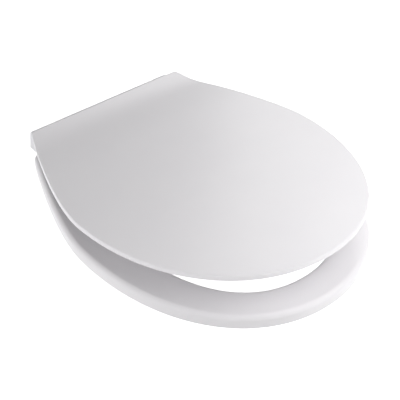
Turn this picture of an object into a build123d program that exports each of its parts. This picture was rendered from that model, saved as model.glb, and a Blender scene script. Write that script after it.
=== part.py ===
from build123d import *
import math
import os

os.makedirs("parts", exist_ok=True)

# Frame: X across, front of the seat toward -Y, Z up. The origin is midway between
# the two fixing bolts, on the plane of the bowl that the seat stands on.

# Lid plan, measured forward from its rear edge
lid_width = 370.0
lid_length = 460.0
lid_rear_width = 249.0
lid_widest = 214.5
flare_angle = 23.5
flare_pull_rear = 0.23
flare_pull_side = 0.27
front_fullness = 0.584
lid_corner_radius = 9.0

# Lid section
lid_rim_height = 7.8
lid_skin = 3.4
lid_wall = 3.2
lid_crown = 5.5
lid_kick = 10.0
lid_kick_length = 46.0
lid_dome_start = 110.0
lid_edge_radius = 1.8
lid_open_angle = 6.4
skin_reach = 32.0

# Ring
ring_overhang = 4.5
ring_height = 19.5
ring_lift = 6.0
ring_rear_gap = 4.0
ring_skin = 4.0
ring_wall = 4.0
ring_outer_radius = 7.0
ring_inner_radius = 9.0
ring_foot_radius = 1.6
ring_corner_radius = 16.0
hole_width = 269.0
hole_front_band = 46.5
hole_rear_band = 70.0
hole_front_fullness = 0.63
hole_rear_fullness = 0.60
rib_thickness = 2.6
rib_recess = 3.0
lid_to_ring_gap = 3.6

# Hinge
axis_y = 14.5
axis_z = 28.5
knuckle_radius = 7.0
pin_radius = 3.0
pin_running_gap = 0.05
lid_rear_to_axis = 16.3
rail_length = 234.0
rail_front_to_axis = 26.0
rail_rear_to_axis = 12.0
rail_front_height = 22.0
rail_wall = 3.0
slot_inner = 62.0
lug_width = 15.5
lug_side_gap = 0.5
slot_floor_drop = 9.5
slot_rear_set = 4.0
pin_inner_depth = 12.0
cap_depth = 3.0
cap_radius = 5.0
cap_proud = 0.8
fixed_gap = 0.01
rail_edge_radius = 1.5

# Fixings
bolt_spacing = 155.0
bolt_radius = 4.0
bolt_reach = 66.0
bolt_head_flats = 13.0
bolt_head_height = 5.3
bolt_slot_gap = 0.3
bolt_slot_travel = 30.0
head_room = 1.0
entry_inner = 44.0
entry_outer = 60.0
thread_step = 0.1
thread_gap = 0.03
washer_gap = 0.2
pad_thickness = 2.0
pad_length = 46.0
pad_depth = 21.0
bowl_thickness = 16.0
cone_height = 9.0
cone_top_radius = 6.5
cone_foot_radius = 12.0
washer_radius = 12.5
washer_thickness = 1.6
nut_height = 12.0
nut_hub_radius = 8.0
wing_span = 44.0
wing_thickness = 4.0

# Buffers
ring_buffer_radius = 11.0
ring_buffer_boss = 7.0
ring_buffer_seat = 9.0
ring_buffer_front = (104.0, -386.0)
ring_buffer_rear = (140.0, -132.0)
buffer_stem_radius = 3.0
buffer_stem_length = 8.0
buffer_gap = 0.02
lid_buffer_radius = 8.5
lid_buffer_boss = 5.5
lid_buffer_boss_drop = 4.0
lid_buffer_stem = 2.4
lid_buffer_stem_length = 3.6
lid_buffer_front = (98.0, -388.0)
lid_buffer_rear = (151.0, -160.0)
lid_buffer_rest_gap = 0.3

# Values that follow from those above
ring_top = ring_lift + ring_height
lid_level = ring_top + lid_to_ring_gap + lid_rim_height
lid_rear_y = axis_y - lid_rear_to_axis
rail_front_y = axis_y - rail_front_to_axis
rail_rear_y = axis_y + rail_rear_to_axis
rail_half = rail_length / 2
ring_rear_y = rail_front_y - ring_rear_gap
pin_inner = slot_inner - pin_inner_depth
slot_outer = slot_inner + 2 * lug_width + 3 * lug_side_gap
half_width = lid_width / 2
front_length = lid_length - lid_widest
widest_y = lid_rear_y - lid_widest
hinge = Axis((0, axis_y, axis_z), (-1, 0, 0))


def cubic(start, first, second, end):
    """A cubic curve from four plan points."""
    return Bezier(start, first, second, end)


def seat_outline(grow):
    """The plan face of the lid, grown outward on its sides and front."""
    wide = half_width + grow
    rear = lid_rear_width / 2 + grow
    front = front_length + grow
    pull = flare_pull_rear * lid_widest
    lean = math.radians(flare_angle)
    edges = []
    for side in (1, -1):
        corner = (side * rear, lid_rear_y)
        leave = (side * (rear + pull * math.sin(lean)), lid_rear_y - pull * math.cos(lean))
        meet = (side * wide, widest_y + flare_pull_side * lid_widest)
        widest = (side * wide, widest_y)
        edges.append(cubic(corner, leave, meet, widest))
        turn = (side * wide, widest_y - front_fullness * front)
        ease = (side * wide * front_fullness, widest_y - front)
        edges.append(cubic(widest, turn, ease, (0, widest_y - front)))
    edges.append(Line((-rear, lid_rear_y), (rear, lid_rear_y)))
    return make_face(edges)


def hole_outline(grow):
    """The plan face of the opening in the ring, grown outward."""
    wide = hole_width / 2 + grow
    front = front_length + ring_overhang - hole_front_band + grow
    rear = ring_rear_y - hole_rear_band - widest_y + grow
    edges = []
    for side in (1, -1):
        middle = (side * wide, widest_y)
        for reach, full in ((-front, hole_front_fullness), (rear, hole_rear_fullness)):
            turn = (side * wide, widest_y + full * reach)
            ease = (side * wide * full, widest_y + reach)
            edges.append(cubic(middle, turn, ease, (0, widest_y + reach)))
    return make_face(edges)


def prism(face, low, high):
    """A plan face raised between two heights."""
    return extrude(Pos(0, 0, low) * face, high - low)


def lid_top(x, y):
    """Height of the closed lid's top: a shallow dome that fades and kicks up at the rear."""
    back = lid_rear_y - y
    ahead = max(0.0, (back - lid_widest) / front_length)
    reach = min(1.0, max(0.0, back / lid_dome_start))
    ease = reach * reach * (3 - 2 * reach)
    dome = lid_crown * ease * (1 - (x / half_width) ** 2 - ahead**2)
    near = max(0.0, 1 - back / lid_kick_length)
    return lid_level + dome + lid_kick * near**2


def lid_skin_face(drop):
    """The lid's top surface, lowered by a set amount."""
    rows = []
    for i in range(73):
        y = lid_rear_y + skin_reach - i * (lid_length + skin_reach + 12) / 72
        row = []
        for j in range(13):
            x = (j / 6 - 1) * (half_width + 12)
            row.append(Vector(x, y, lid_top(x, y) - drop))
        rows.append(row)
    return Face.make_surface_from_array_of_points(rows, tol=0.01)


def tangent_point(point, side):
    """Where a line from a point in the Y-Z plane touches the knuckle circle."""
    dy = axis_y - point[0]
    dz = axis_z - point[1]
    far = math.hypot(dy, dz)
    turn = math.atan2(-dz, -dy) + side * math.acos(knuckle_radius / far)
    return (axis_y + knuckle_radius * math.cos(turn), axis_z + knuckle_radius * math.sin(turn))


def side_plate(points, start, width):
    """A plate with a Y-Z outline, standing from one X position to another."""
    face = Plane.YZ * make_face(Polyline(*points, close=True))
    return Pos(start, 0, 0) * extrude(face, width, dir=(1, 0, 0))


def x_rod(radius, start, end):
    """A round bar on the hinge axis."""
    bar = Cylinder(radius, end - start, align=(Align.CENTER, Align.CENTER, Align.MIN))
    return Pos(start, axis_y, axis_z) * Rot(0, 90, 0) * bar


def z_rod(radius, x, y, low, high):
    """An upright round bar."""
    bar = Cylinder(radius, high - low, align=(Align.CENTER, Align.CENTER, Align.MIN))
    return Pos(x, y, low) * bar


def block(x, y, z):
    """A box from three (low, high) pairs."""
    size = Box(x[1] - x[0], y[1] - y[0], z[1] - z[0], align=(Align.MIN, Align.MIN, Align.MIN))
    return Pos(x[0], y[0], z[0]) * size


def span(side, near, far):
    """An X range on one side of the middle, lower end first."""
    return tuple(sorted((side * near, side * far)))


def make_lid():
    """The lid, closed: a crowned skin with a rim, hinge lugs and buffer bosses."""
    body = prism(seat_outline(0), 0, 80)
    corners = body.edges().filter_by(Axis.Z).group_by(Axis.Y)[-1]
    body = fillet(corners, lid_corner_radius)
    slab = extrude(lid_skin_face(0), lid_rim_height, dir=(0, 0, -1))
    body = body & slab
    upper = [e for e in body.edges() if on_lid_top(e)]
    body = fillet(upper, lid_edge_radius)
    inside = prism(seat_outline(-lid_wall), 0, 80)
    inside = inside - block((-200, 200), (lid_rear_y - lid_wall, 50), (-1, 90))
    under = extrude(lid_skin_face(lid_skin), 30, dir=(0, 0, -1))
    body = body - (inside & under)
    keep = extrude(lid_skin_face(lid_skin / 2), 60, dir=(0, 0, -1))
    low_point = (lid_rear_y - 20, lid_level)
    high_point = (lid_rear_y - lid_wall / 2, lid_level + 4)
    points = [
        high_point,
        tangent_point(high_point, -1),
        (axis_y, axis_z),
        tangent_point(low_point, 1),
        low_point,
        (lid_rear_y - 20, lid_level + 12),
        (lid_rear_y - lid_wall / 2, lid_level + 14),
    ]
    start = slot_inner + lug_width + 2 * lug_side_gap
    for side in (1, -1):
        x = span(side, start, start + lug_width)
        lug = side_plate(points, x[0], lug_width) + x_rod(knuckle_radius, *x)
        body = body + (lug & keep)
        body = body - x_rod(pin_radius + pin_running_gap, x[0] - 1, x[1] + 1)
    for x, y in lid_buffer_spots():
        seat = lid_top(x, y) - lid_skin
        boss = z_rod(lid_buffer_boss, x, y, seat - lid_buffer_boss_drop, seat + lid_skin) & keep
        body = body + boss
        body = body - z_rod(lid_buffer_stem + buffer_gap, x, y, seat - lid_buffer_boss_drop - 1,
                            seat - lid_buffer_boss_drop + lid_buffer_stem_length)
    return body


def on_lid_top(edge):
    """Whether an edge lies on the lid's top surface."""
    for at in (0.1, 0.5, 0.9):
        p = edge.position_at(at)
        if abs(p.Z - lid_top(p.X, p.Y)) > 0.2:
            return False
    return True


def lid_buffer_spots():
    """Plan positions of the lid's four buffers."""
    spots = []
    for x, y in (lid_buffer_front, lid_buffer_rear):
        spots.append((-x, y))
        spots.append((x, y))
    return spots


def ring_buffer_spots():
    """Plan positions of the ring's four buffers."""
    spots = []
    for x, y in (ring_buffer_front, ring_buffer_rear):
        spots.append((-x, y))
        spots.append((x, y))
    return spots


def make_lid_buffer(x, y):
    """A rubber buffer under the closed lid, with its stem in the lid's boss."""
    top = lid_top(x, y) - lid_skin - lid_buffer_boss_drop
    low = ring_top + lid_buffer_rest_gap
    disc = z_rod(lid_buffer_radius, x, y, low, top)
    disc = fillet(disc.edges().group_by(Axis.Z)[0], 1.2)
    return disc + z_rod(lid_buffer_stem, x, y, top - 0.5, top + lid_buffer_stem_length)


def ring_prism(grow, rear_y, low, high):
    """The ring's outer shape, cut straight at the rear, between two heights."""
    face = seat_outline(grow) - Pos(0, rear_y + 100) * Rectangle(600, 200)
    return prism(face, low, high)


def upright_edges(body, rear_y):
    """The two upright edges where the sides meet the straight rear."""
    found = []
    for edge in body.edges():
        box = edge.bounding_box()
        flat = box.size.X < 0.01 and box.size.Y < 0.01
        if flat and abs(box.max.Y - rear_y) < 0.1:
            found.append(edge)
    return found


def make_ring():
    """The seat ring: a downward-open channel with ribs, buffer bosses and hinge lugs."""
    body = ring_prism(ring_overhang, ring_rear_y, ring_lift, ring_top)
    body = fillet(upright_edges(body, ring_rear_y), ring_corner_radius)
    body = fillet(body.edges().group_by(Axis.Z)[-1], ring_outer_radius)
    body = fillet(body.edges().group_by(Axis.Z)[0], ring_foot_radius)
    opening = prism(hole_outline(0), ring_lift - 5, ring_top + 5)
    body = body - opening
    body = fillet(hole_edges(body, ring_top), ring_inner_radius)
    body = fillet(hole_edges(body, ring_lift), ring_foot_radius)
    ceiling = ring_top - ring_skin
    channel = ring_prism(ring_overhang - ring_wall, ring_rear_y - ring_wall, ring_lift - 5, ceiling)
    channel = channel - prism(hole_outline(ring_wall), ring_lift - 6, ceiling + 1)
    body = body - channel
    for turn in range(6):
        for side in (1, -1):
            rib = block((60, 300), (-rib_thickness / 2, rib_thickness / 2),
                        (ring_lift + rib_recess, ceiling + 0.5))
            rib = Pos(0, widest_y, 0) * Rot(0, 0, side * (15 + 30 * turn) - 90) * rib
            web = rib & (channel + Pos(0, 0, 1) * channel)
            body = body + web
    for x, y in ring_buffer_spots():
        body = body + z_rod(ring_buffer_boss, x, y, ring_buffer_seat, ceiling + 0.5)
        body = body - z_rod(buffer_stem_radius + buffer_gap, x, y, ring_buffer_seat - 1,
                            ring_buffer_seat + buffer_stem_length + 0.4)
    low_point = (ring_rear_y - 9, axis_z - knuckle_radius - 0.6)
    high_point = (ring_rear_y - 6, ring_top - 0.8)
    points = [
        low_point,
        tangent_point(low_point, 1),
        (axis_y, axis_z),
        tangent_point(high_point, -1),
        high_point,
        (ring_rear_y - 9, ring_top - 0.8),
    ]
    start = slot_inner + lug_side_gap
    for side in (1, -1):
        x = span(side, start, start + lug_width)
        body = body + side_plate(points, x[0], lug_width) + x_rod(knuckle_radius, *x)
        body = body - x_rod(pin_radius + pin_running_gap, x[0] - 1, x[1] + 1)
    return body


def hole_edges(body, height):
    """The edges around the ring's opening at one height."""
    found = []
    limit = hole_width / 2 + 1
    for edge in body.edges():
        box = edge.bounding_box()
        level = abs(box.min.Z - height) < 0.05 and abs(box.max.Z - height) < 0.05
        inside = box.max.X < limit and box.min.X > -limit
        behind = box.min.Y > widest_y - front_length - ring_overhang + hole_front_band - 1
        ahead = box.max.Y < ring_rear_y - hole_rear_band + 1
        if level and inside and behind and ahead:
            found.append(edge)
    return found


def make_ring_buffer(x, y):
    """A rubber foot under the ring, with its stem in the ring's boss."""
    foot = z_rod(ring_buffer_radius, x, y, 0, ring_buffer_seat)
    foot = fillet(foot.edges().group_by(Axis.Z)[0], 1.5)
    return foot + z_rod(buffer_stem_radius, x, y, ring_buffer_seat - 0.5,
                        ring_buffer_seat + buffer_stem_length)


def make_rail():
    """The hinge rail: a hollow bar with knuckles, lug slots and a keyed slot for each bolt."""
    front_top = (rail_front_y, rail_front_height)
    rear_foot = (rail_rear_y, pad_thickness)
    points = [
        (rail_front_y, pad_thickness),
        front_top,
        tangent_point(front_top, -1),
        (axis_y, axis_z),
        tangent_point(rear_foot, 1),
        rear_foot,
    ]
    body = side_plate(points, -rail_half, rail_length)
    body = body + x_rod(knuckle_radius, -rail_half, rail_half)
    ends = body.edges().group_by(Axis.X)
    body = fillet(ends[0] + ends[-1], rail_edge_radius)
    seat = pad_thickness + rail_wall
    floor = axis_z - slot_floor_drop
    rear_wall = axis_y - slot_rear_set
    room = bolt_head_flats / 2 + head_room
    travel = bolt_slot_travel / 2 + bolt_radius + bolt_slot_gap
    middle = bolt_spacing / 2
    for side in (1, -1):
        x = span(side, slot_inner, slot_outer)
        body = body - block(x, (-60, 60), (floor, 60))
        body = body - block(x, (rear_wall, 60), (-5, 60))
        body = body - x_rod(pin_radius + fixed_gap, *span(side, pin_inner, rail_half + 1))
        body = body - x_rod(cap_radius + fixed_gap, *span(side, rail_half - cap_depth, rail_half + 1))
        cavity = span(side, entry_inner, middle + travel + head_room)
        body = body - block(cavity, (-room, room), (seat, seat + bolt_head_height + head_room))
        neck = bolt_radius + bolt_slot_gap
        body = body - block(span(side, middle - travel, middle + travel), (-neck, neck), (0, seat + 1))
        body = body - block(span(side, entry_inner, entry_outer), (-room, room), (0, seat + 1))
        hollow_y = (rail_front_y + rail_wall, axis_y + 4)
        body = body - block(span(side, rail_wall / 2, entry_inner - 6), hollow_y, (0, floor + 2))
        body = body - block(span(side, slot_outer + 5, rail_half - rail_wall - 1), hollow_y, (0, floor))
    return body


def make_pin(side):
    """A hinge pin through the rail, one ring lug and one lid lug."""
    low, high = span(side, pin_inner, rail_half - cap_depth)
    bar = x_rod(pin_radius, low, high)
    ends = bar.edges().group_by(Axis.X)
    return chamfer(ends[0] + ends[-1], 0.4)


def make_pin_cap(side):
    """The push-in cap that closes the pin's hole at the end of the rail."""
    low, high = span(side, rail_half - cap_depth, rail_half + cap_proud)
    cap = x_rod(cap_radius, low, high)
    outer = cap.edges().group_by(Axis.X)[-1 if side > 0 else 0]
    return fillet(outer, cap_proud * 0.9)


def make_bolt(side):
    """A fixing bolt: hexagon head, square neck in the rail's slot, plain shank, then thread."""
    x = side * bolt_spacing / 2
    seat = pad_thickness + rail_wall
    head = extrude(RegularPolygon(bolt_head_flats / 2, 6, major_radius=False, rotation=0),
                   bolt_head_height)
    head = chamfer(head.edges().group_by(Axis.Z)[-1], 0.6)
    bolt = Pos(x, 0, seat) * head
    neck = bolt_radius
    bolt = bolt + block((x - neck, x + neck), (-neck, neck), (0, seat + 0.5))
    bolt = bolt + z_rod(bolt_radius, x, 0, -bowl_thickness, 0.5)
    thread = z_rod(bolt_radius - thread_step, x, 0, -bolt_reach, -bowl_thickness + 0.5)
    thread = chamfer(thread.edges().group_by(Axis.Z)[0], 1.0)
    return bolt + thread


def make_pad(side):
    """The rubber pad between the rail and the bowl."""
    x = side * bolt_spacing / 2
    pad = Box(pad_length, pad_depth, pad_thickness, align=(Align.CENTER, Align.CENTER, Align.MIN))
    pad = fillet(pad.edges().filter_by(Axis.Z), 4)
    hole = bolt_radius + bolt_slot_gap
    pad = Pos(x, 0, 0) * pad
    return pad - block((x - hole, x + hole), (-hole, hole), (-1, pad_thickness + 1))


def make_cone(side):
    """The rubber cone washer that centres the bolt in the bowl's hole."""
    x = side * bolt_spacing / 2
    cone = Cone(cone_foot_radius, cone_top_radius, cone_height,
                align=(Align.CENTER, Align.CENTER, Align.MIN))
    low = -bowl_thickness - cone_height
    cone = Pos(x, 0, low) * cone
    return cone - z_rod(bolt_radius + washer_gap, x, 0, low - 1, 1)


def make_washer(side):
    """The flat washer under the wing nut."""
    x = side * bolt_spacing / 2
    high = -bowl_thickness - cone_height
    washer = z_rod(washer_radius, x, 0, high - washer_thickness, high)
    washer = washer - z_rod(bolt_radius + washer_gap, x, 0, high - 5, high + 5)
    return chamfer(washer.edges().group_by(Axis.Z)[0][-1], 0.3)


def make_nut(side):
    """The wing nut: a tapered hub with two rounded wings."""
    x = side * bolt_spacing / 2
    high = -bowl_thickness - cone_height - washer_thickness
    hub = Cone(nut_hub_radius * 0.85, nut_hub_radius, nut_height,
               align=(Align.CENTER, Align.CENTER, Align.MAX))
    wing = Box(wing_span, wing_thickness, nut_height * 1.25,
               align=(Align.CENTER, Align.CENTER, Align.MAX))
    wing = Pos(0, 0, -nut_height * 0.2) * wing
    wing = fillet(wing.edges().filter_by(Axis.Y), 5)
    wing = fillet(wing.edges(), 1)
    nut = Pos(x, 0, high) * (hub + Pos(0, 0, 0) * wing)
    low = high - nut_height * 2
    nut = nut - z_rod(bolt_radius - thread_step + thread_gap, x, 0, low, high + 1)
    return nut - z_rod(nut_hub_radius * 0.85, x, 0, low, high - nut_height)


def names(stem):
    """Node names for a left and right pair."""
    return ((stem + "_left", -1), (stem + "_right", 1))


pieces = {"seat_ring": make_ring(), "hinge_rail": make_rail()}
closed = {"lid": make_lid()}
for i, (x, y) in enumerate(lid_buffer_spots()):
    place = "front" if i < 2 else "rear"
    closed[f"lid_buffer_{place}_{'right' if x > 0 else 'left'}"] = make_lid_buffer(x, y)
for name, piece in closed.items():
    pieces[name] = piece.rotate(hinge, lid_open_angle)
for i, (x, y) in enumerate(ring_buffer_spots()):
    place = "front" if i < 2 else "rear"
    pieces[f"ring_buffer_{place}_{'right' if x > 0 else 'left'}"] = make_ring_buffer(x, y)
makers = {
    "hinge_pin": make_pin,
    "pin_cap": make_pin_cap,
    "fixing_bolt": make_bolt,
    "rail_pad": make_pad,
    "cone_washer": make_cone,
    "flat_washer": make_washer,
    "wing_nut": make_nut,
}
for stem, maker in makers.items():
    for name, side in names(stem):
        pieces[name] = maker(side)

for name, piece in pieces.items():
    solids = piece.solids()
    print(name, len(solids), round(piece.volume), piece.is_valid)
    export_step(solids[0] if len(solids) == 1 else piece, f"parts/{name}.step")
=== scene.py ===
"""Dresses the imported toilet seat: smooth mouldings, threaded fixings, finishes, light and camera."""
import logging
import math
from dataclasses import dataclass, field
from enum import Enum
from functools import cached_property

import bmesh
import bpy
import numpy as np
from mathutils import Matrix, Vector


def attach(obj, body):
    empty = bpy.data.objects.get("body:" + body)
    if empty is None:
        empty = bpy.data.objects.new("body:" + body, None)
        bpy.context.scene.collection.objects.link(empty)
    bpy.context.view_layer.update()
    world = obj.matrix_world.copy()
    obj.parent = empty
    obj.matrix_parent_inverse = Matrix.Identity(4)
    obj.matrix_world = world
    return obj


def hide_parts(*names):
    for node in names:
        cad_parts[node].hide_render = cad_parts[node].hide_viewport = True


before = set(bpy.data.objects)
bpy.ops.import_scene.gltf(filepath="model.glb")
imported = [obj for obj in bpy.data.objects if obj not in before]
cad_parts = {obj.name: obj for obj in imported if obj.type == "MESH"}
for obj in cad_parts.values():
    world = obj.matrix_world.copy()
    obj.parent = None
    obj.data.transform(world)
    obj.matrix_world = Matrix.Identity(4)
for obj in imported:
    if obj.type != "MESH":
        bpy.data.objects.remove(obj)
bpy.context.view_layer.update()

Array = np.ndarray
Material = bpy.types.Material
Object = bpy.types.Object
Socket = bpy.types.NodeSocket
Tree = bpy.types.NodeTree
Point = tuple[float, float]
Place = tuple[float, float, float]
Spots = dict[str, Point]

MM = 0.001
# Radius of a turned piece's end rows, just off its axis, in millimetres.
CORE = 0.01
# How far a rib or boss reaches into the wall that it grows from, in millimetres.
SUNK = 0.5
# Points along a long plan curve before it is spaced evenly.
CURVE_POINTS = 900
# Noise values mostly lie between these two.
NOISE_LOW, NOISE_HIGH = 0.3, 0.7
LOG = logging.getLogger("toilet_seat")


class Body(Enum):
    """The three rigid bodies that pieces ride on."""

    BASE = "base"
    RING = "ring"
    LID = "lid"


class Ends(Enum):
    """How the first and last rows of a grid are finished."""

    POLE = "pole"
    LOOP = "loop"
    CAP = "cap"


class Axis(Enum):
    """The way that a turned piece's axis runs."""

    ACROSS = "x"
    UPRIGHT = "z"


class Side(Enum):
    """Left and right of the middle, seen from the front."""

    LEFT = -1
    RIGHT = 1

    @property
    def word(self) -> str:
        """The side's name as the nodes use it."""
        return self.name.lower()

    def across(self, near: float, far: float) -> list[float]:
        """Two distances from the middle as places on this side, the lower X first."""
        return sorted((self.value * near, self.value * far))


def linear(hex_colour: str) -> tuple[float, float, float, float]:
    """Turns an sRGB hex colour into linear values.

    Args:
        hex_colour: Six hex digits.

    Returns:
        Linear red, green, blue and an alpha of one.
    """
    srgb = np.array([int(hex_colour[i:i + 2], 16) for i in (0, 2, 4)]) / 255
    out = np.where(srgb <= 0.04045, srgb / 12.92, ((srgb + 0.055) / 1.055) ** 2.4)
    return (float(out[0]), float(out[1]), float(out[2]), 1.0)


def add_node(tree: Tree, kind: str, values: dict | None = None, **settings: object) -> bpy.types.Node:
    """Adds one node with its settings, and sets or links its inputs.

    Args:
        tree: The node tree.
        kind: The node's type name.
        values: Input name or number to a constant, or to the output socket that feeds it.
        settings: Properties of the node itself.

    Returns:
        The new node.
    """
    node = tree.nodes.new(kind)
    for key, value in settings.items():
        setattr(node, key, value)
    for name, value in (values or {}).items():
        if isinstance(value, Socket):
            tree.links.new(value, node.inputs[name])
        else:
            node.inputs[name].default_value = value
    return node


def in_sight(tree: Tree) -> Socket:
    """A socket that is one for rays the eye follows, straight, in gloss or through clear pieces."""
    path = add_node(tree, "ShaderNodeLightPath").outputs
    sight = path["Is Camera Ray"]
    for ray in ("Is Glossy Ray", "Is Transmission Ray"):
        more = add_node(tree, "ShaderNodeMath", {0: sight, 1: path[ray]}, operation="MAXIMUM")
        sight = more.outputs["Value"]
    return sight


@dataclass(frozen=True)
class Finish:
    """A moulded, drawn or pressed surface, made from two scales of noise.

    The broad noise tints the colour and the fine one varies roughness and raises the skin. The
    slot is a second name kept with it, which nothing here reads.
    """

    name: str
    slot: str
    colour: str
    tint: str
    roughness: float
    spread: float
    broad_mm: float
    fine_mm: float
    relief_mm: float
    metallic: float = 0.0
    ior: float = 1.5
    stretch: Place = (1.0, 1.0, 1.0)

    @cached_property
    def material(self) -> Material:
        """The material, built when it is first asked for."""
        made = bpy.data.materials.new(self.name)
        made.use_nodes = True
        tree = made.node_tree
        tree.nodes.clear()
        where = add_node(tree, "ShaderNodeTexCoord")
        mapped = add_node(tree, "ShaderNodeMapping", {
            "Vector": where.outputs["Object"], "Scale": self.stretch})
        broad = add_node(tree, "ShaderNodeTexNoise", {
            "Vector": mapped.outputs["Vector"], "Scale": 1 / (self.broad_mm * MM),
            "Detail": 3.0, "Roughness": 0.55})
        fine = add_node(tree, "ShaderNodeTexNoise", {
            "Vector": mapped.outputs["Vector"], "Scale": 1 / (self.fine_mm * MM),
            "Detail": 2.0, "Roughness": 0.5})
        colour = add_node(tree, "ShaderNodeMix", {
            "Factor": broad.outputs["Fac"], "A": linear(self.colour), "B": linear(self.tint)},
            data_type="RGBA")
        rough = add_node(tree, "ShaderNodeMapRange", {
            "Value": fine.outputs["Fac"], "From Min": NOISE_LOW, "From Max": NOISE_HIGH,
            "To Min": self.roughness - self.spread,
            "To Max": self.roughness + self.spread})
        bump = add_node(tree, "ShaderNodeBump", {
            "Height": fine.outputs["Fac"], "Strength": 1.0, "Distance": self.relief_mm * MM})
        shader = add_node(tree, "ShaderNodeBsdfPrincipled", {
            "Base Color": colour.outputs["Result"], "Roughness": rough.outputs["Result"],
            "Normal": bump.outputs["Normal"], "Metallic": self.metallic, "IOR": self.ior})
        add_node(tree, "ShaderNodeOutputMaterial", {"Surface": shader.outputs["BSDF"]})
        return made


# Compression-moulded thermoset: a hard white skin with a soft gloss and a faint orange peel.
SEAT_PLASTIC = Finish("moulded_white_thermoset", "seat_plastic", "e4e2e4", "e0dee1",
                      roughness=0.34, spread=0.03, broad_mm=60.0, fine_mm=2.6, relief_mm=0.012)
# Moulded polypropylene with a fine spark-eroded grain, which dulls the gloss.
RAIL_PLASTIC = Finish("grained_white_polypropylene", "rail_plastic", "e0dfe2", "d9d8dc",
                      roughness=0.46, spread=0.05, broad_mm=40.0, fine_mm=1.1, relief_mm=0.02)
# Drawn stainless bar: streaks along the bar stretch its highlight around it.
PIN_STEEL = Finish("drawn_stainless_bar", "steel", "b9babd", "a3a4a8",
                   roughness=0.28, spread=0.08, broad_mm=3.0, fine_mm=0.6, relief_mm=0.004,
                   metallic=1.0, stretch=(0.04, 1.0, 1.0))
# Compression-moulded black rubber: dull, with a bloom that greys it in patches.
BLACK_RUBBER = Finish("moulded_black_rubber", "rubber_pad", "262627", "323233",
                      roughness=0.68, spread=0.08, broad_mm=9.0, fine_mm=0.9, relief_mm=0.03)
# Soft grey-white elastomer: dull, slightly waxy, with a fine moulded grain.
PALE_RUBBER = Finish("moulded_pale_elastomer", "buffer_rubber", "c9c8c5", "bfbebc",
                     roughness=0.6, spread=0.06, broad_mm=7.0, fine_mm=0.8, relief_mm=0.02)
# Natural nylon: ivory, waxy, with broad flow marks from the mould.
NYLON = Finish("moulded_natural_nylon", "nylon", "dcdad2", "d2d0c6",
               roughness=0.42, spread=0.06, broad_mm=8.0, fine_mm=0.9, relief_mm=0.012)


@dataclass
class Surface:
    """Points in millimetres and the faces that join them."""

    points: Array
    faces: list[list[int]]

    def outward(self) -> "Surface":
        """Turns the faces round if the enclosed volume is negative, and returns the surface."""
        fans = [(f[0], f[i], f[i + 1]) for f in self.faces for i in range(1, len(f) - 1)]
        corner = self.points[np.array(fans)]
        volume = np.einsum("ij,ij->i", corner[:, 0], np.cross(corner[:, 1], corner[:, 2])).sum()
        if volume < 0:
            self.faces = [f[::-1] for f in self.faces]
        return self

    def turned(self, degrees: float, axis_y: float, axis_z: float) -> "Surface":
        """Opens the surface about an axis along X; the front goes up.

        Args:
            degrees: The opening angle.
            axis_y: The axis's place along Y, in millimetres.
            axis_z: The axis's height, in millimetres.

        Returns:
            A new surface.
        """
        a = math.radians(degrees)
        y, z = self.points[:, 1] - axis_y, self.points[:, 2] - axis_z
        moved = self.points.copy()
        moved[:, 1] = axis_y + y * math.cos(a) + z * math.sin(a)
        moved[:, 2] = axis_z - y * math.sin(a) + z * math.cos(a)
        return Surface(moved, self.faces)


def joined(parts: list[Surface]) -> Surface:
    """Puts several surfaces into one list of points and faces."""
    points = np.concatenate([p.points for p in parts])
    faces: list[list[int]] = []
    base = 0
    for p in parts:
        faces += [[i + base for i in f] for f in p.faces]
        base += len(p.points)
    return Surface(points, faces)


def grid(rows: Array, ends: Ends) -> Surface:
    """Joins rows of points into a closed skin; each row is a closed loop.

    Quads join neighbouring rows. The end rows close to a point, close with a flat face, or
    meet each other, so that the section is a loop too.

    Args:
        rows: Array of rows, points in a row, and three coordinates.
        ends: How the first and last rows are finished.

    Returns:
        The closed surface.
    """
    count, around = rows.shape[:2]
    steps = count if ends is Ends.LOOP else count - 1
    r, c = np.meshgrid(np.arange(steps) * around, np.arange(around), indexing="ij")
    below, across = (r + around) % (count * around), (c + 1) % around
    quads = np.stack([r + c, r + across, below + across, below + c], -1)
    faces, points = quads.reshape(-1, 4).tolist(), rows.reshape(-1, 3)
    ring = np.arange(around)
    last_row = (count - 1) * around + ring
    if ends is Ends.POLE:
        first, last = np.full(around, len(points)), np.full(around, len(points) + 1)
        points = np.concatenate([points, rows[0].mean(0)[None], rows[-1].mean(0)[None]])
        faces += np.stack([first, np.roll(ring, -1), ring], -1).tolist()
        faces += np.stack([last, last_row, np.roll(last_row, -1)], -1).tolist()
    if ends is Ends.CAP:
        faces += [ring[::-1].tolist(), last_row.tolist()]
    return Surface(points, faces).outward()


def revolved(profile: Array, centre: Place, axis: Axis, ends: Ends, around: int) -> Surface:
    """Turns a profile about an axis: radius times the circle, height along the axis.

    Args:
        profile: Rows of radius and height, in millimetres.
        centre: The point on the axis that heights are counted from.
        axis: The way that the axis runs.
        ends: How the profile's ends close.
        around: Points round the axis.

    Returns:
        The closed surface.
    """
    turn = np.linspace(0, 2 * np.pi, around, endpoint=False)
    radius, height = profile[:, :1], profile[:, 1:] + np.zeros(around)
    a, b = radius * np.cos(turn), radius * np.sin(turn)
    rows = np.stack([height, a, b] if axis is Axis.ACROSS else [a, b, height], -1)
    return grid(rows + np.array(centre), ends)


def signed_power(value: Array, power: float) -> Array:
    """A power of the size that keeps the sign."""
    return np.sign(value) * np.abs(value) ** power


def run(start: Point, end: Point, count: int) -> Array:
    """Evenly spaced points inside a straight line, without its two ends."""
    return np.linspace(start, end, count + 2)[1:-1]


def arc(centre: Point, radius: float, start: float, end: float, count: int = 7) -> Array:
    """Points on a circle between two angles in degrees."""
    turn = np.radians(np.linspace(start, end, count))
    return np.array(centre) + radius * np.stack([np.cos(turn), np.sin(turn)], -1)


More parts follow.
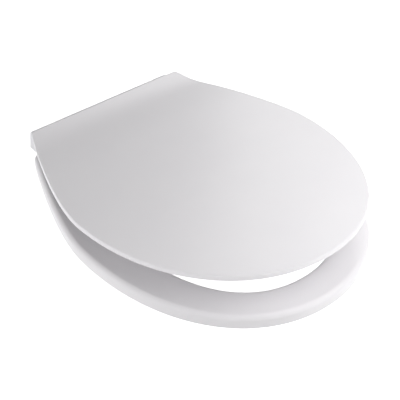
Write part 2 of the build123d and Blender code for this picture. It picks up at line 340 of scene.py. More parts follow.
def cubic(points: list[Point]) -> Array:
    """Plan points along the cubic curve of four control points: start, two pulls and end."""
    a, b, c, d = np.array(points, float)
    t = np.linspace(0, 1, CURVE_POINTS)[:, None]
    return (1 - t) ** 3 * a + 3 * t * (1 - t) ** 2 * b + 3 * t**2 * (1 - t) * c + t**3 * d


def left_of(along: Array) -> Array:
    """Unit plan vectors that point to the left of the given ones."""
    out = np.stack([-along[:, 1], along[:, 0]], -1)
    return out / np.linalg.norm(out, axis=1, keepdims=True)


def loop_normals(loop: Array) -> Array:
    """Outward unit normals of a closed plan loop that runs clockwise seen from above."""
    return left_of(np.roll(loop, -1, 0) - np.roll(loop, 1, 0))


def drawn_in(line: Array, normal: Array, inset: Array) -> Array:
    """Rows of a line moved against its normals, one row for each inset."""
    return line[None] - inset[:, None, None] * normal[None]


def lifted(plan: Array, height: Array) -> Array:
    """Gives rows of plan points their heights, one for each row or one for each point of each row."""
    tall = height.reshape(height.shape + (1,) * (3 - height.ndim))
    return np.concatenate([plan, np.broadcast_to(tall, plan.shape[:2] + (1,))], -1)


def blended(first: Array, last: Array, count: int, swell: float) -> Array:
    """A count of rows between two rows, raised by a parabola that swells most in the middle."""
    t = np.linspace(0, 1, count + 2)[1:-1, None, None]
    rows = first[None] * (1 - t) + last[None] * t
    rows[..., 2] += swell * 4 * t[..., 0] * (1 - t[..., 0])
    return rows


def mirrored(line: Array, half: int) -> Array:
    """Spaces a right-hand line evenly and closes it with its mirror image.

    Args:
        line: Points from the rear middle to the front middle.
        half: Points to keep on it.

    Returns:
        The closed loop.
    """
    along = np.concatenate([[0], np.cumsum(np.linalg.norm(np.diff(line, axis=0), axis=1))])
    at = np.linspace(0, along[-1], half)
    right = np.stack([np.interp(at, along, line[:, 0]), np.interp(at, along, line[:, 1])], -1)
    left = right[-2:0:-1] * np.array([-1, 1])
    return np.concatenate([right, left])


def both_sides(spots: Spots) -> list[tuple[str, float, float]]:
    """Each spot on the left and the right: its name with the side's word, and its place."""
    return [(f"{row}_{side.word}", side.value * x, y) for row, (x, y) in spots.items() for side in Side]


@dataclass(frozen=True)
class SeatPlan:
    """The plan of lid and ring, the lid's crown, and the hinge, in millimetres."""

    width: float = 370.0
    length: float = 460.0
    rear_width: float = 249.0
    widest: float = 214.5
    flare_degrees: float = 23.5
    pull_rear: float = 0.23
    pull_side: float = 0.27
    fullness: float = 0.584
    rear_y: float = -1.8
    ring_top: float = 25.5
    lid_edge: float = 36.9
    crown: float = 5.5
    crown_reach: float = 110.0
    kick: float = 10.0
    kick_reach: float = 46.0
    axis_y: float = 14.5
    axis_z: float = 28.5
    knuckle: float = 7.0
    lug_width: float = 15.5
    open_degrees: float = 6.4
    bolt_x: float = 77.5

    @property
    def widest_y(self) -> float:
        """Where the plan is widest, along Y."""
        return self.rear_y - self.widest

    @property
    def middle(self) -> Array:
        """The plan point that rows and ribs are drawn toward."""
        return np.array([0.0, self.widest_y])

    @property
    def front(self) -> float:
        """Length of the plan in front of its widest line."""
        return self.length - self.widest

    def outline(self, grow: float, rear_y: float, corner: float, half: int) -> Array:
        """The closed plan line: straight rear, rounded corners, flared sides and a full front.

        The corner's centre is where the flare, moved inward by the corner's radius, meets the
        rear line moved forward by the same amount. The right half is spaced evenly and mirrored.

        Args:
            grow: How far the sides and front lie outside the lid's.
            rear_y: Where the straight rear lies.
            corner: Radius of the rear corners.
            half: Points on one half, both ends included.

        Returns:
            Points running from the rear over the right side to the front and back.
        """
        wide, rear, front = self.width / 2 + grow, self.rear_width / 2 + grow, self.front + grow
        pull, lean = self.pull_rear * self.widest, math.radians(self.flare_degrees)
        flare = cubic([
            (rear, self.rear_y), (rear + pull * math.sin(lean), self.rear_y - pull * math.cos(lean)),
            (wide, self.widest_y + self.pull_side * self.widest), (wide, self.widest_y)])
        out = left_of(np.gradient(flare, axis=0))
        inner = flare - corner * out
        start = int(np.argmax(inner[:, 1] <= rear_y - corner))
        low = math.degrees(math.atan2(out[start, 1], out[start, 0]))
        bend = arc(inner[start], corner, 90, low, 60)
        nose = cubic([
            (wide, self.widest_y), (wide, self.widest_y - self.fullness * front),
            (wide * self.fullness, self.widest_y - front), (0, self.widest_y - front)])
        return mirrored(np.concatenate([[(0, rear_y)], bend, flare[start + 1:], nose[1:]]), half)

    def lid_top(self, x: Array, y: Array) -> Array:
        """Height of the closed lid: a dome that fades toward the rear, plus a rear kick-up.

        The dome falls with the square of the distance from the middle, across and ahead; the
        kick-up grows with the square of the distance inside the last few centimetres.

        Args:
            x: Places across.
            y: Places along.

        Returns:
            Heights in millimetres.
        """
        back = self.rear_y - y
        ahead = np.maximum(0, (back - self.widest) / self.front)
        reach = np.clip(back / self.crown_reach, 0, 1)
        ease = reach * reach * (3 - 2 * reach)
        dome = self.crown * ease * (1 - (x / (self.width / 2)) ** 2 - ahead**2)
        near = np.maximum(0, 1 - back / self.kick_reach)
        return self.lid_edge + dome + self.kick * near**2

    def knuckle_line(self, high: Point, low: Point) -> Array:
        """The knuckle's circle between the tangents from a high and a low Y-Z point.

        A tangent touches the circle away from the point's own direction, by the angle whose
        cosine is the radius over the point's distance.

        Args:
            high: Where the upper tangent comes from.
            low: Where the lower tangent comes from.

        Returns:
            Points round the hinge axis, from the upper tangent to the lower.
        """
        turns = []
        for (y, z), side in ((high, -1), (low, 1)):
            dy, dz = y - self.axis_y, z - self.axis_z
            away = side * math.acos(self.knuckle / math.hypot(dy, dz))
            turns.append(math.degrees(math.atan2(dz, dy) + away))
        return arc((self.axis_y, self.axis_z), self.knuckle, turns[0], turns[1] - 360, 40)


def lug(profile: Array, low: float, high: float, edge: float = 0.7) -> Surface:
    """A plate from one X to another with a rounded rim: the profile shrunk a little at both faces.

    Args:
        profile: Closed Y-Z outline.
        low: X of the first face.
        high: X of the second face.
        edge: Radius of the rim.

    Returns:
        The closed surface.
    """
    normal = loop_normals(profile)
    flip = np.sign(((profile - profile.mean(0)) * normal).sum())
    rim = arc((edge, edge), edge, 180, 270, 4)
    at = np.concatenate([low + rim[:, 0], high - rim[::-1, 0]])
    flat = drawn_in(profile, flip * normal, np.concatenate([rim[:, 1], rim[::-1, 1]]))
    x = np.broadcast_to(at[:, None, None], flat.shape[:2] + (1,))
    return grid(np.concatenate([x, flat], -1), Ends.CAP)


def thinned(loop: Array, gap: float) -> Array:
    """Drops points of a loop that lie closer than a gap to the one before."""
    far = np.linalg.norm(loop - np.roll(loop, 1, 0), axis=1) > gap
    return loop[far]


@dataclass(frozen=True)
class Boss:
    """A tapered bar with an eased foot that carries a buffer, in millimetres."""

    radius: float
    edge: float
    taper: float

    def surface(self, x: float, y: float, foot: float, roof: float) -> Surface:
        """Turns the profile about the boss's axis, from its flat foot up into the skin, its roof."""
        r, top = self.radius, roof + SUNK
        profile = np.array([(CORE, foot), (r, foot), (r + self.edge, foot + self.edge),
                            (r + self.taper, top), (CORE, top + 0.1)])
        return revolved(profile, (x, y, 0), Axis.UPRIGHT, Ends.POLE, around=40)


@dataclass(frozen=True)
class Buffer:
    """A round rubber foot: a stepped sole, a soft rim and an eased head, in millimetres.

    The sole holds radii and heights over the foot's low face; the head holds how far each point
    lies inside the radius and under the high face.
    """

    radius: float
    rim: float
    sole: tuple[Point, ...]
    head: tuple[Point, ...]

    def surface(self, x: float, y: float, low: float, high: float) -> Surface:
        """Turns the profile about the foot's axis, between the heights of its low and high faces."""
        rim = arc((self.radius - self.rim, low + self.rim), self.rim, -90, 0)
        head = np.array([self.radius, high]) - np.array(self.head)
        profile = np.concatenate([np.array(self.sole) + np.array([0, low]), rim, head, [(CORE, high)]])
        return revolved(profile, (x, y, 0), Axis.UPRIGHT, Ends.POLE, around=56)


LID_BOSS = Boss(radius=5.0, edge=0.4, taper=0.7)
RING_BOSS = Boss(radius=6.4, edge=0.5, taper=1.0)
LID_BUFFER = Buffer(
    radius=8.5, rim=1.4, head=((0.0, 0.8), (0.3, 0.2), (0.9, 0.0)),
    sole=((CORE, 0.5), (2.4, 0.5), (2.9, 0.0), (4.2, 0.0), (4.6, 0.4), (5.2, 0.0)))
RING_BUFFER = Buffer(
    radius=11.0, rim=1.6, head=((0.0, 1.2), (0.4, 0.3), (1.2, 0.0)),
    sole=((CORE, 0.6), (3.0, 0.6), (3.6, 0.0), (5.6, 0.0), (6.0, 0.4), (6.8, 0.4), (7.2, 0.0)))


def add_mesh(mesh: bpy.types.Mesh, finish: Finish, body: Body, node: str, sharp_degrees: float) -> Object:
    """Adds a piece that rides on its body in place of its node, and reports it.

    Args:
        mesh: Its mesh, named as the piece.
        finish: Its finish.
        body: The body it rides on.
        node: The node it stands for.
        sharp_degrees: Edges bent more than this stay sharp, the others are smooth.

    Returns:
        The new object.
    """
    mesh.polygons.foreach_set("use_smooth", np.ones(len(mesh.polygons), bool))
    mesh.set_sharp_from_angle(angle=math.radians(sharp_degrees))
    mesh.materials.clear()
    mesh.materials.append(finish.material)
    made = bpy.data.objects.new(mesh.name, mesh)
    bpy.context.scene.collection.objects.link(made)
    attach(made, body.value)
    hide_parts(node)
    LOG.info("%s rides on %s, %d faces", made.name, body.value, len(mesh.polygons))
    return made


def add_piece(name: str, surface: Surface, finish: Finish, body: Body, node: str,
              sharp_degrees: float = 38.0) -> None:
    """Adds a piece made from a surface in millimetres; the rest is as for add_mesh."""
    mesh = bpy.data.meshes.new(name)
    mesh.from_pydata((surface.points * MM).tolist(), [], surface.faces)
    mesh.update()
    add_mesh(mesh, finish, body, node, sharp_degrees)


@dataclass
class Lid:
    """The lid: a crowned skin with a rim, two hinge lugs and four buffers, in millimetres.

    The rim is deeper by the values of lean at the distances lean_at from the rear.
    """

    plan: SeatPlan
    corner: float = 9.0
    rim: float = 7.8
    skin: float = 3.4
    wall: float = 3.2
    edge: float = 1.8
    foot: float = 0.8
    inner: float = 1.6
    edge_zone: float = 8.0
    lean_at: tuple[float, ...] = (130.0, 230.0, 460.0)
    lean: tuple[float, ...] = (2.2, 0.0, -1.0)
    half_points: int = 331
    top_rows: int = 44
    top_start: float = 0.04
    top_ease: float = 1.35
    lug_start: float = 78.5
    lug_reach: float = 20.0
    lug_rise: float = 4.0
    lug_points: int = 14
    boss_drop: float = 4.0
    rest_gap: float = 0.55
    buffers: Spots = field(default_factory=lambda: {"front": (98.0, -388.0), "rear": (151.0, -160.0)})

    def rim_rows(self) -> Array:
        """The rim's section from the top over the edge to the underside, as insets and drops."""
        zone, edge, foot, inner = self.edge_zone, self.edge, self.foot, self.inner
        wall, base, deep = self.wall, self.rim, self.skin
        return np.concatenate([
            run((zone, 0), (edge, 0), 4),
            arc((edge, edge), edge, 270, 180),
            run((0, edge), (0, base - foot), 2),
            arc((foot, base - foot), foot, 180, 90),
            arc((wall - foot, base - foot), foot, 90, 0),
            arc((wall + inner, deep + inner), inner, 180, 270),
            run((wall + inner, deep), (zone, deep), 3)])

    def shell(self) -> Surface:
        """The skin and rim: rows run from the top's middle over the edge to the underside's middle.

        Near the edge a row is the outline moved inward along its normals; further in, it is that
        line drawn toward the middle. Each row's height is the top's height less a drop, and the
        rim's rows drop a little more toward the rear and a little less at the front.

        Returns:
            The closed shell, lid shut.
        """
        p = self.plan
        line = p.outline(0, p.rear_y, self.corner, self.half_points)
        normal, rim = loop_normals(line), self.rim_rows()
        spread = 1 - (1 - np.linspace(self.top_start, 1, self.top_rows)) ** self.top_ease
        top = p.middle + spread[:, None, None] * (line - self.edge_zone * normal - p.middle)
        plan = np.concatenate([top, drawn_in(line, normal, rim[:, 0]), top[::-1]])
        drop = np.concatenate([np.zeros(len(top)), rim[:, 1], np.full(len(top), self.skin)])
        share = np.clip((drop - self.skin) / (self.rim - self.skin), 0, 1)
        lean = np.interp(p.rear_y - plan[..., 1], self.lean_at, self.lean)
        height = p.lid_top(plan[..., 0], plan[..., 1]) - drop[:, None] - share[:, None] * lean
        return grid(lifted(plan, height), Ends.POLE)

    def hinge_lug(self, side: Side) -> Surface:
        """One hinge lug, lid shut: the knuckle's circle drawn out to the skin by two tangents."""
        p = self.plan
        rear, front = p.rear_y - self.wall / 2, p.rear_y - self.lug_reach
        knuckle = p.knuckle_line((rear, p.lid_edge + self.lug_rise), (front, p.lid_edge))
        y = np.linspace(front, rear, self.lug_points)
        under = p.lid_top(np.full_like(y, self.lug_start), y) - self.skin / 2
        line = np.concatenate([knuckle, np.stack([y, under], -1)])
        return lug(thinned(line, 0.05), *side.across(self.lug_start, self.lug_start + p.lug_width))

    def build(self) -> None:
        """Makes the lid ajar, and its buffers."""
        p, parts, pads = self.plan, [self.shell()] + [self.hinge_lug(s) for s in Side], {}
        hinge, low = (p.open_degrees, p.axis_y, p.axis_z), p.ring_top + self.rest_gap
        for name, x, y in both_sides(self.buffers):
            roof = float(p.lid_top(np.array(x), np.array(y))) - self.skin
            foot = roof - self.boss_drop
            parts.append(LID_BOSS.surface(x, y, foot, roof))
            pads[name] = LID_BUFFER.surface(x, y, low, foot).turned(*hinge)
        add_piece("lid_moulding", joined(parts).turned(*hinge), SEAT_PLASTIC, Body.LID, "lid")
        for name, pad in pads.items():
            add_piece(f"lid_foot_{name}", pad, PALE_RUBBER, Body.LID, f"lid_buffer_{name}")


@dataclass
class Ring:
    """The seat ring: a channel open below, with ribs, bosses, lugs and buffers, in millimetres."""

    plan: SeatPlan
    overhang: float = 4.5
    low: float = 6.0
    rear_y: float = -15.5
    corner: float = 16.0
    skin: float = 4.0
    wall: float = 4.0
    outer: float = 7.0
    inner: float = 9.0
    foot: float = 1.6
    lip: float = 0.4
    cove: float = 2.0
    swell: float = 0.5
    hole_width: float = 269.0
    front_band: float = 46.5
    rear_band: float = 70.0
    front_full: float = 0.63
    rear_full: float = 0.60
    half_points: int = 301
    hole_points: int = 2401
    rib_first: float = 15.0
    rib_step: float = 30.0
    rib_count: int = 6
    rib_foot: float = 3.0
    rib_half_foot: float = 1.1
    rib_half_roof: float = 1.4
    lug_start: float = 62.5
    lug_high_reach: float = 6.0
    lug_low_reach: float = 9.0
    lug_under_knuckle: float = 0.6
    lug_under_top: float = 0.8
    buffer_seat: float = 9.0
    buffers: Spots = field(default_factory=lambda: {"front": (104.0, -386.0), "rear": (140.0, -132.0)})

    @property
    def ceiling(self) -> float:
        """Height of the top's underside."""
        return self.plan.ring_top - self.skin

    def hole(self) -> Array:
        """The opening's plan line: four quarter curves that meet on the widest line."""
        wide, mid = self.hole_width / 2, self.plan.widest_y
        front = self.plan.front + self.overhang - self.front_band
        rear = self.rear_y - self.rear_band - mid
        behind = cubic([(0, mid + rear), (wide * self.rear_full, mid + rear),
                        (wide, mid + self.rear_full * rear), (wide, mid)])
        ahead = cubic([(wide, mid), (wide, mid - self.front_full * front),
                       (wide * self.front_full, mid - front), (0, mid - front)])
        return mirrored(np.concatenate([behind, ahead[1:]]), self.hole_points)

    @cached_property
    def paired(self) -> tuple[Array, Array]:
        """The outer line, and as many points of the opening's in the same directions from the middle."""
        middle = self.plan.middle
        outer = self.plan.outline(self.overhang, self.rear_y, self.corner, self.half_points)
        inner = self.hole()
        turn = np.unwrap(np.arctan2(*(inner - middle).T))
        want = np.unwrap(np.arctan2(*(outer - middle).T))
        turn = np.append(turn, turn[0] + 2 * np.pi)
        ring = np.concatenate([inner, inner[:1]])
        return outer, np.stack([np.interp(want, turn, ring[:, 0]), np.interp(want, turn, ring[:, 1])], -1)

    def channel(self) -> Surface:
        """The channel: a section carried round the plan.

        Rows near either side are that side's line moved along its normals; the top and the
        ceiling are blends between the two. The section is a loop, so the rows close too.

        Returns:
            The closed channel.
        """
        outer, inner = self.paired
        out, into = loop_normals(outer), loop_normals(inner)
        low, top, ceiling = self.low, self.plan.ring_top, self.ceiling
        foot, wall, cove = self.foot, self.wall, self.cove
        lining = np.array([
            (wall - self.lip, low), (wall, low + self.lip), (wall, ceiling - cove),
            (wall + 0.3 * cove, ceiling - 0.3 * cove), (wall + cove, ceiling)])
        side = np.concatenate([
            arc((foot, low + foot), foot, 270, 180, 8),
            run((0, low + foot), (0, top - self.outer), 3),
            arc((self.outer, top - self.outer), self.outer, 180, 90, 12)])
        back = np.concatenate([
            arc((self.inner, top - self.inner), self.inner, 90, 180, 12),
            run((0, top - self.inner), (0, low + foot), 3),
            arc((foot, low + foot), foot, 180, 270, 8), lining])
        home = lining[::-1]
        near = lifted(drawn_in(outer, out, side[:, 0]), side[:, 1])
        far = lifted(drawn_in(inner, into, -back[:, 0]), back[:, 1])
        under = lifted(drawn_in(outer, out, home[:, 0]), home[:, 1])
        over = blended(near[-1], far[0], 10, self.swell)
        return grid(np.concatenate([near, over, far, blended(far[-1], under[0], 4, 0.0), under]), Ends.LOOP)

    def rib(self, degrees: float) -> Surface:
        """One rib across the channel: a tapered blade with a rounded foot, from wall to wall.

        Args:
            degrees: Direction from the middle, counted from the front.

        Returns:
            The closed rib.
        """
        turn = np.radians(degrees)
        way = np.array([math.sin(turn), -math.cos(turn)])
        across = np.array([way[1], -way[0]])

        def crossing(loop: Array) -> Array:
            """The loop's point that lies nearest to the rib's direction."""
            ray = loop - self.plan.middle
            return loop[np.argmax((ray / np.linalg.norm(ray, axis=1)[:, None]) @ way)]

        start, end = (crossing(loop) for loop in self.paired)
        half, roof = self.rib_half_roof, self.ceiling + SUNK
        foot = arc((0, self.low + self.rib_foot + self.rib_half_foot), self.rib_half_foot, 180, 360, 9)
        blade = np.concatenate([[(-half, roof)], foot, [(half, roof)]])
        inset = way * (self.wall - SUNK)
        plan = np.stack([start - inset, end + inset])[:, None] + blade[None, :, :1] * across
        return grid(lifted(plan, np.broadcast_to(blade[:, 1], plan.shape[:2])), Ends.CAP)

    def hinge_lug(self, side: Side) -> Surface:
        """One hinge lug: the knuckle's circle drawn out to the rear wall by two tangents."""
        p = self.plan
        low = (self.rear_y - self.lug_low_reach, p.axis_z - p.knuckle - self.lug_under_knuckle)
        high = (self.rear_y - self.lug_high_reach, p.ring_top - self.lug_under_top)
        line = np.concatenate([p.knuckle_line(high, low), [low, (low[0], high[1]), high]])
        return lug(line, *side.across(self.lug_start, self.lug_start + p.lug_width))

    def build(self) -> None:
        """Makes the ring and its feet."""
        spots = both_sides(self.buffers)
        turns = self.rib_first + self.rib_step * np.arange(self.rib_count)
        parts = [self.channel()] + [self.rib(side.value * turn) for side in Side for turn in turns]
        parts += [RING_BOSS.surface(x, y, self.buffer_seat, self.ceiling) for _, x, y in spots]
        parts += [self.hinge_lug(s) for s in Side]
        add_piece("ring_moulding", joined(parts), SEAT_PLASTIC, Body.RING, "seat_ring")
        for name, x, y in spots:
            pad = RING_BUFFER.surface(x, y, 0.0, self.buffer_seat)
            add_piece(f"ring_foot_{name}", pad, PALE_RUBBER, Body.RING, f"ring_buffer_{name}")


@dataclass
class HingeBase:
    """The fixed side of the hinge: rail, pins, caps and pads, in millimetres."""

    plan: SeatPlan
    rail_half: float = 117.0
    edge: float = 0.5
    edge_steps: int = 2
    edge_degrees: float = 40.0
    flat_degrees: float = 0.5
    weld: float = 0.001
    pin_inner: float = 50.0
    pin_radius: float = 3.0
    pin_edge: float = 0.4
    cap_depth: float = 3.0
    cap_radius: float = 5.0
    cap_proud: float = 0.8
    cap_edge: float = 0.3
    dome: float = 0.7
    dome_start: float = 12.0
    pad_half: Point = (23.0, 10.5)
    pad_thickness: float = 2.0
    pad_square: float = 0.3

    @property
    def axis(self) -> Place:
        """The middle of the hinge axis."""
        return (0.0, self.plan.axis_y, self.plan.axis_z)

    def rail(self) -> None:
        """Copies the rail's solid, merges its triangles and rounds its edges."""
        work = bmesh.new()
        work.from_mesh(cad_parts["hinge_rail"].data)
        bmesh.ops.remove_doubles(work, verts=work.verts, dist=self.weld * MM)
        bmesh.ops.dissolve_limit(work, angle_limit=math.radians(self.flat_degrees),
                                 verts=work.verts, edges=work.edges)
        mesh = bpy.data.meshes.new("rail_moulding")
        work.to_mesh(mesh)
        work.free()
        made = add_mesh(mesh, RAIL_PLASTIC, Body.BASE, "hinge_rail", 30)
        bevel = made.modifiers.new("edges", "BEVEL")
        bevel.width, bevel.segments = self.edge * MM, self.edge_steps
        bevel.limit_method, bevel.angle_limit = "ANGLE", math.radians(self.edge_degrees)

    def pin(self, side: Side) -> Surface:
        """One pin: a bar with chamfered ends, turned about the hinge axis."""
        low, high = side.across(self.pin_inner, self.rail_half - self.cap_depth)
        r, edge = self.pin_radius, self.pin_edge
        profile = np.array([(CORE, low), (r - edge, low), (r, low + edge), (r, high - edge),
                            (r - edge, high), (CORE, high)])
        return revolved(profile, self.axis, Axis.ACROSS, Ends.POLE, around=40)

    def cap(self, side: Side) -> Surface:
        """One cap: a plug with a domed face, turned about the hinge axis."""
        r, edge, low = self.cap_radius, self.cap_edge, self.rail_half - self.cap_depth
        turn, start = np.radians(np.linspace(self.dome_start, 89, 12)), math.radians(self.dome_start)
        face = self.rail_half + self.cap_proud - self.dome * (1 - np.sin(turn))
        dome = np.stack([r * np.cos(turn) / math.cos(start), face], -1)
        plug = [(CORE, low), (r - edge, low), (r, low + edge), (r, self.rail_half)]
        profile = np.concatenate([plug, dome]) * np.array([1, side.value])
        return revolved(profile, self.axis, Axis.ACROSS, Ends.POLE, around=48)

    def pad(self, side: Side) -> Surface:
        """One pad: a flat plate whose plan is a squarish superellipse, with a soft rim."""
        turn = np.linspace(0, 2 * np.pi, 96, endpoint=False)
        circle = np.stack([np.cos(turn), np.sin(turn)], -1)
        shape = signed_power(circle, self.pad_square) * np.array(self.pad_half)
        lower = np.array([(0.05, 0.0), (0.6, 0.0), (0.97, 0.0), (0.99, 0.2), (1.0, 0.5)])
        upper = lower[::-1] * np.array([1, -1]) + np.array([0, self.pad_thickness])
        grow = np.concatenate([lower, upper])
        plan = shape[None] * grow[:, :1, None] + np.array([side.value * self.plan.bolt_x, 0])
        return grid(lifted(plan, grow[:, 1]), Ends.POLE)

    def build(self) -> None:
        """Makes the rail, pins, caps and pads."""
        self.rail()
        for side in Side:
            w = side.word
            add_piece(f"pin_bar_{w}", self.pin(side), PIN_STEEL, Body.BASE, f"hinge_pin_{w}")
            add_piece(f"pin_plug_{w}", self.cap(side), RAIL_PLASTIC, Body.BASE, f"pin_cap_{w}")
            add_piece(f"rail_foot_{w}", self.pad(side), BLACK_RUBBER, Body.BASE, f"rail_pad_{w}")


@dataclass
class Fixing:
    """One fixing set: bolt, cone washer, flat washer and wing nut, in millimetres."""

    plan: SeatPlan
    side: Side
    seat: float = 5.0
    radius: float = 4.0
    reach: float = 66.0
    flats: float = 13.0
    head: float = 5.3
    corner_ease: float = 0.985
    neck_ease: float = 0.995
    bowl: float = 16.0
    pitch: float = 2.0
    thread_depth: float = 0.55
    thread_play: float = 0.1
    run_out: float = 3.0
    cone: float = 9.0
    cone_top: float = 6.5
    cone_foot: float = 12.0
    cone_edge: float = 0.3
    ring_height: float = 0.25
    ring_count: int = 4
    washer: float = 1.6
    washer_radius: float = 12.5
    washer_bore: float = 4.2
    washer_ease: tuple[Point, ...] = ((0.4, 0.0), (0.1, 0.15), (0.0, 0.4))
    nut: float = 12.0
    nut_bore: float = 3.95
    nut_edge: float = 0.4
    hub: float = 8.0
    hub_taper: float = 0.15
    waist: float = 0.5
    span: float = 44.0
    wing_root: float = 5.5
    wing_tall: float = 0.625
    wing_drop: float = 0.2
    wing_half: float = 2.0
    wing_square: float = 0.55
    wing_round: float = 0.6

    @property
    def x(self) -> float:
        """The bolt's place across."""
        return self.side.value * self.plan.bolt_x

    def bolt(self) -> Surface:
        """The bolt as one radius over angle and height: hexagon, square, plain shank, then helix.

        A polygon's radius is its half width over the cosine of the angle from the nearest face.
        The thread's radius is a triangle wave of height over pitch, less one turn per round.

        Returns:
            The closed bolt.
        """
        turn = np.linspace(0, 2 * np.pi, 72, endpoint=False)[None]
        round_bar = np.ones_like(turn)

        def polygon(sides: int, half: float) -> Array:
            """Radius of a regular polygon over angle, corners eased a little."""
            step = 2 * np.pi / sides
            away = (turn + step / 2) % step - step / 2
            return np.minimum(half / np.cos(away), half / math.cos(step / 2) * self.corner_ease)

        seat, top, end = self.seat, self.seat + self.head, -self.reach
        hexagon, square = polygon(6, self.flats / 2), polygon(4, self.radius) * self.neck_ease
        upper = [(top, hexagon * 0.02), (top, hexagon * 0.80), (top - 0.15, hexagon * 0.90),
                 (top - 0.6, hexagon), (seat + 0.2, hexagon), (seat, hexagon * 0.98)]
        upper += [(h, square) for h in (seat, 3.0, 0.6, 0.0)]
        upper += [(h, round_bar * self.radius) for h in (0.0, -4.0, -8.0, -self.bowl + 1.0)]
        z = np.arange(-self.bowl, end + 1.2, -self.pitch / 7)[:, None]
        phase = (z / self.pitch - turn / (2 * np.pi)) % 1.0
        fade = np.clip((-self.bowl - z) / self.pitch, 0, 1) * np.clip((z - end) / self.run_out, 0, 1)
        thread = self.radius - self.thread_play - self.thread_depth * fade * np.abs(2 * phase - 1)
        tip = [(end + 1.0, round_bar * (self.radius - 0.3)), (end + 0.2, round_bar * (self.radius - 1.0)),
               (end, round_bar * (self.radius - 1.4)), (end, round_bar * 2 * CORE)]
        radius = np.concatenate([r for _, r in upper] + [thread] + [r for _, r in tip])
        height = np.concatenate([[h for h, _ in upper], z[:, 0], [h for h, _ in tip]])
        plan = np.stack([radius * np.cos(turn) + self.x, radius * np.sin(turn)], -1)
        return grid(lifted(plan, height), Ends.POLE)

    def about_bolt(self, profile: Array, around: int) -> Surface:
        """Turns a closed profile about the bolt."""
        return revolved(profile, (self.x, 0, 0), Axis.UPRIGHT, Ends.LOOP, around)

    def cone_washer(self) -> Surface:
        """The rubber cone: a closed section with fine rings on its slope, turned about the bolt."""
        high, low = -self.bowl, -self.bowl - self.cone
        bore, foot, edge = self.washer_bore, self.cone_foot, self.cone_edge
        t = np.linspace(0, 1, 19)[1:-1]
        rings = self.ring_height * np.sin(2 * np.pi * self.ring_count * t)
        slope = np.stack([self.cone_top + (foot - self.cone_top) * t + rings, high - self.cone * t], -1)
        return self.about_bolt(np.concatenate([
            [(bore, high), (self.cone_top - 2 * edge, high)], slope,
            [(foot, low + edge), (foot - edge, low), (bore, low)]]), 64)

    def flat_washer(self) -> Surface:
        """The flat washer: a thin section with rounded edges, turned about the bolt."""
        bore, r, high = self.washer_bore, self.washer_radius, -self.bowl - self.cone
        low, ease = high - self.washer, np.array(self.washer_ease)
        upper, lower = np.array([r, high]) - ease, np.array([r, low]) + ease * np.array([-1, 1])
        return self.about_bolt(np.concatenate([[(bore, high)], upper, lower[::-1], [(bore, low)]]), 64)

    def wing_nut(self) -> Surface:
        """The wing nut: a waisted hub turned about the bolt, and two flattened superellipsoid wings.

        Returns:
            Hub and wings, each closed.
        """
        high, bore, edge = -self.bowl - self.cone - self.washer, self.nut_bore, self.nut_edge
        low, narrow = high - self.nut, self.hub * (1 - self.hub_taper) - self.waist
        t = np.linspace(0, 1, 14)
        side = np.stack([self.hub * (1 - self.hub_taper * t) - self.waist * np.sin(np.pi * t),
                         high - edge - (self.nut - 2 * edge) * t], -1)
        parts = [self.about_bolt(np.concatenate([
            [(bore, high), (self.hub - edge, high)], side, [(narrow, low), (bore, low)]]), 56)]
        u = np.linspace(0, 2 * np.pi, 48, endpoint=False)[None]
        v = np.radians(np.linspace(-88, 88, 22))[:, None]
        reach, tall = (self.span / 2 - self.wing_root) / 2, self.nut * self.wing_tall
        flat = signed_power(np.cos(v), self.wing_square)
        x = reach * flat * signed_power(np.cos(u), self.wing_square)
        y = self.wing_half * signed_power(np.sin(v), self.wing_round) + 0 * u
        z = tall * flat * signed_power(np.sin(u), self.wing_square) + high - self.nut * self.wing_drop - tall
        for way in Side:
            ahead = self.x + way.value * (self.wing_root + reach)
            parts.append(grid(np.stack([x + ahead, y, z], -1), Ends.POLE))
        return joined(parts)

    def build(self) -> None:
        """Makes the four pieces of the set."""
        w = self.side.word
        add_piece(f"bolt_{w}", self.bolt(), NYLON, Body.BASE, f"fixing_bolt_{w}", 30)
        add_piece(f"cone_{w}", self.cone_washer(), BLACK_RUBBER, Body.BASE, f"cone_washer_{w}")
        add_piece(f"washer_{w}", self.flat_washer(), NYLON, Body.BASE, f"flat_washer_{w}")
        add_piece(f"nut_{w}", self.wing_nut(), NYLON, Body.BASE, f"wing_nut_{w}")


@dataclass(frozen=True)
class SoftBox:
    """A square lamp that faces the seat, at the camera's kind of angles, in degrees and metres."""

    name: str
    azimuth: float
    elevation: float
    far: float
    watts: float
    shows_in_gloss: bool = False


def stand(name: str, data: bpy.types.ID, target: Place, azimuth: float, elevation: float,
          far: float) -> Object:
    """Stands a camera or lamp far off its target, facing it; azimuth runs from the front to the right."""
    a, e = math.radians(azimuth), math.radians(elevation)
    way = Vector((math.sin(a) * math.cos(e), -math.cos(a) * math.cos(e), math.sin(e)))
    made = bpy.data.objects.new(name, data)
    made.location = Vector(target) + way * far
    made.rotation_euler = way.to_track_quat("Z", "Y").to_euler()
    bpy.context.scene.collection.objects.link(made)
    return made


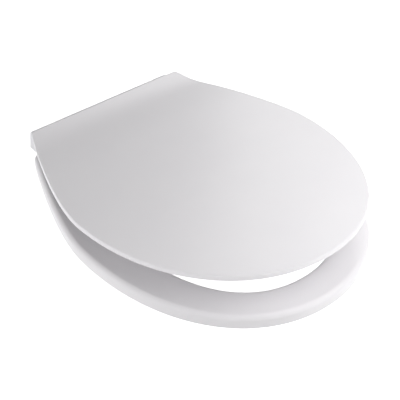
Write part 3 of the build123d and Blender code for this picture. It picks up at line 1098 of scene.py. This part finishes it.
@dataclass
class Studio:
    """The floor, sky, lamps and camera. Angles are in degrees and lengths in metres."""

    azimuth: float = -38.02
    elevation: float = 40.77
    distance: float = 1.35
    focal_px: float = 1035.2
    frame_px: float = 400.0
    sensor_mm: float = 36.0
    target: Place = (-0.0163, -0.2395, 0.03)
    lamp_target: Place = (0.0, -0.2, 0.03)
    lamp_size: float = 0.7
    # Name, azimuth, elevation, distance and watts.
    lamps: tuple[SoftBox, ...] = (
        SoftBox("key_box", 23, 34, 0.8, 4.85),
        SoftBox("left_box", -110, 10, 1.3, 8.3),
        SoftBox("front_box", -45, 28, 0.8, 1.55),
        SoftBox("back_box", 180, 10, 1.3, 0.6),
        SoftBox("gloss_box", 115, 38, 0.8, 2.95, shows_in_gloss=True))
    floor_z: float = -0.085
    floor_half: float = 6.0
    floor_glow: float = 0.88
    sky_light: float = 0.085

    def camera(self) -> None:
        """Sets the camera; its focal length is in pixels of the photo's frame."""
        data = bpy.data.cameras.new("camera")
        data.sensor_fit, data.sensor_width = "HORIZONTAL", self.sensor_mm
        data.lens = self.focal_px / self.frame_px * self.sensor_mm
        bpy.context.scene.camera = stand(
            "camera", data, self.target, self.azimuth, self.elevation, self.distance)

    def floor(self) -> None:
        """A wide pale floor: a plain diffuse board that glows in sight, so that only shadow shows."""
        half, z = self.floor_half, self.floor_z
        mesh = bpy.data.meshes.new("floor")
        mesh.from_pydata([(-half, -half, z), (half, -half, z), (half, half, z), (-half, half, z)], [],
                         [[0, 1, 2, 3]])
        made = bpy.data.objects.new("floor", mesh)
        bpy.context.scene.collection.objects.link(made)
        finish = bpy.data.materials.new("matt_white_board")
        finish.use_nodes = True
        tree = finish.node_tree
        tree.nodes.clear()
        board = add_node(tree, "ShaderNodeBsdfDiffuse", {"Color": linear("e8e8e8")})
        glow = add_node(tree, "ShaderNodeEmission", {
            "Color": linear("ffffff"), "Strength": self.floor_glow})
        both = add_node(tree, "ShaderNodeAddShader", {
            0: board.outputs["BSDF"], 1: glow.outputs["Emission"]})
        pick = add_node(tree, "ShaderNodeMixShader", {
            0: in_sight(tree), 1: board.outputs["BSDF"], 2: both.outputs["Shader"]})
        add_node(tree, "ShaderNodeOutputMaterial", {"Surface": pick.outputs["Shader"]})
        mesh.materials.append(finish)

    def world(self) -> None:
        """A dim even sky for light, white in sight."""
        sky = bpy.data.worlds.new("studio_sky")
        sky.use_nodes = True
        tree = sky.node_tree
        tree.nodes.clear()
        strength = add_node(tree, "ShaderNodeMapRange", {
            "Value": in_sight(tree), "To Min": self.sky_light, "To Max": 1.0})
        back = add_node(tree, "ShaderNodeBackground", {
            "Color": linear("ffffff"), "Strength": strength.outputs["Result"]})
        add_node(tree, "ShaderNodeOutputWorld", {"Surface": back.outputs["Background"]})
        bpy.context.scene.world = sky

    def lamp(self, box: SoftBox) -> None:
        """Sets up one soft box, out of the camera's sight."""
        data = bpy.data.lights.new(box.name, "AREA")
        data.size, data.energy = self.lamp_size, box.watts
        made = stand(box.name, data, self.lamp_target, box.azimuth, box.elevation, box.far)
        made.visible_camera = False
        made.visible_glossy = box.shows_in_gloss

    def build(self) -> None:
        """Makes the whole studio."""
        self.camera()
        self.floor()
        self.world()
        for box in self.lamps:
            self.lamp(box)
        bpy.context.scene.view_settings.view_transform = "Standard"


def main() -> None:
    """Builds each sub-assembly in turn, then the studio."""
    logging.basicConfig(level=logging.INFO, format="%(name)s: %(message)s")
    plan = SeatPlan()
    Lid(plan).build()
    Ring(plan).build()
    HingeBase(plan).build()
    for side in Side:
        Fixing(plan, side).build()
    Studio().build()


if __name__ == "__main__":
    main()
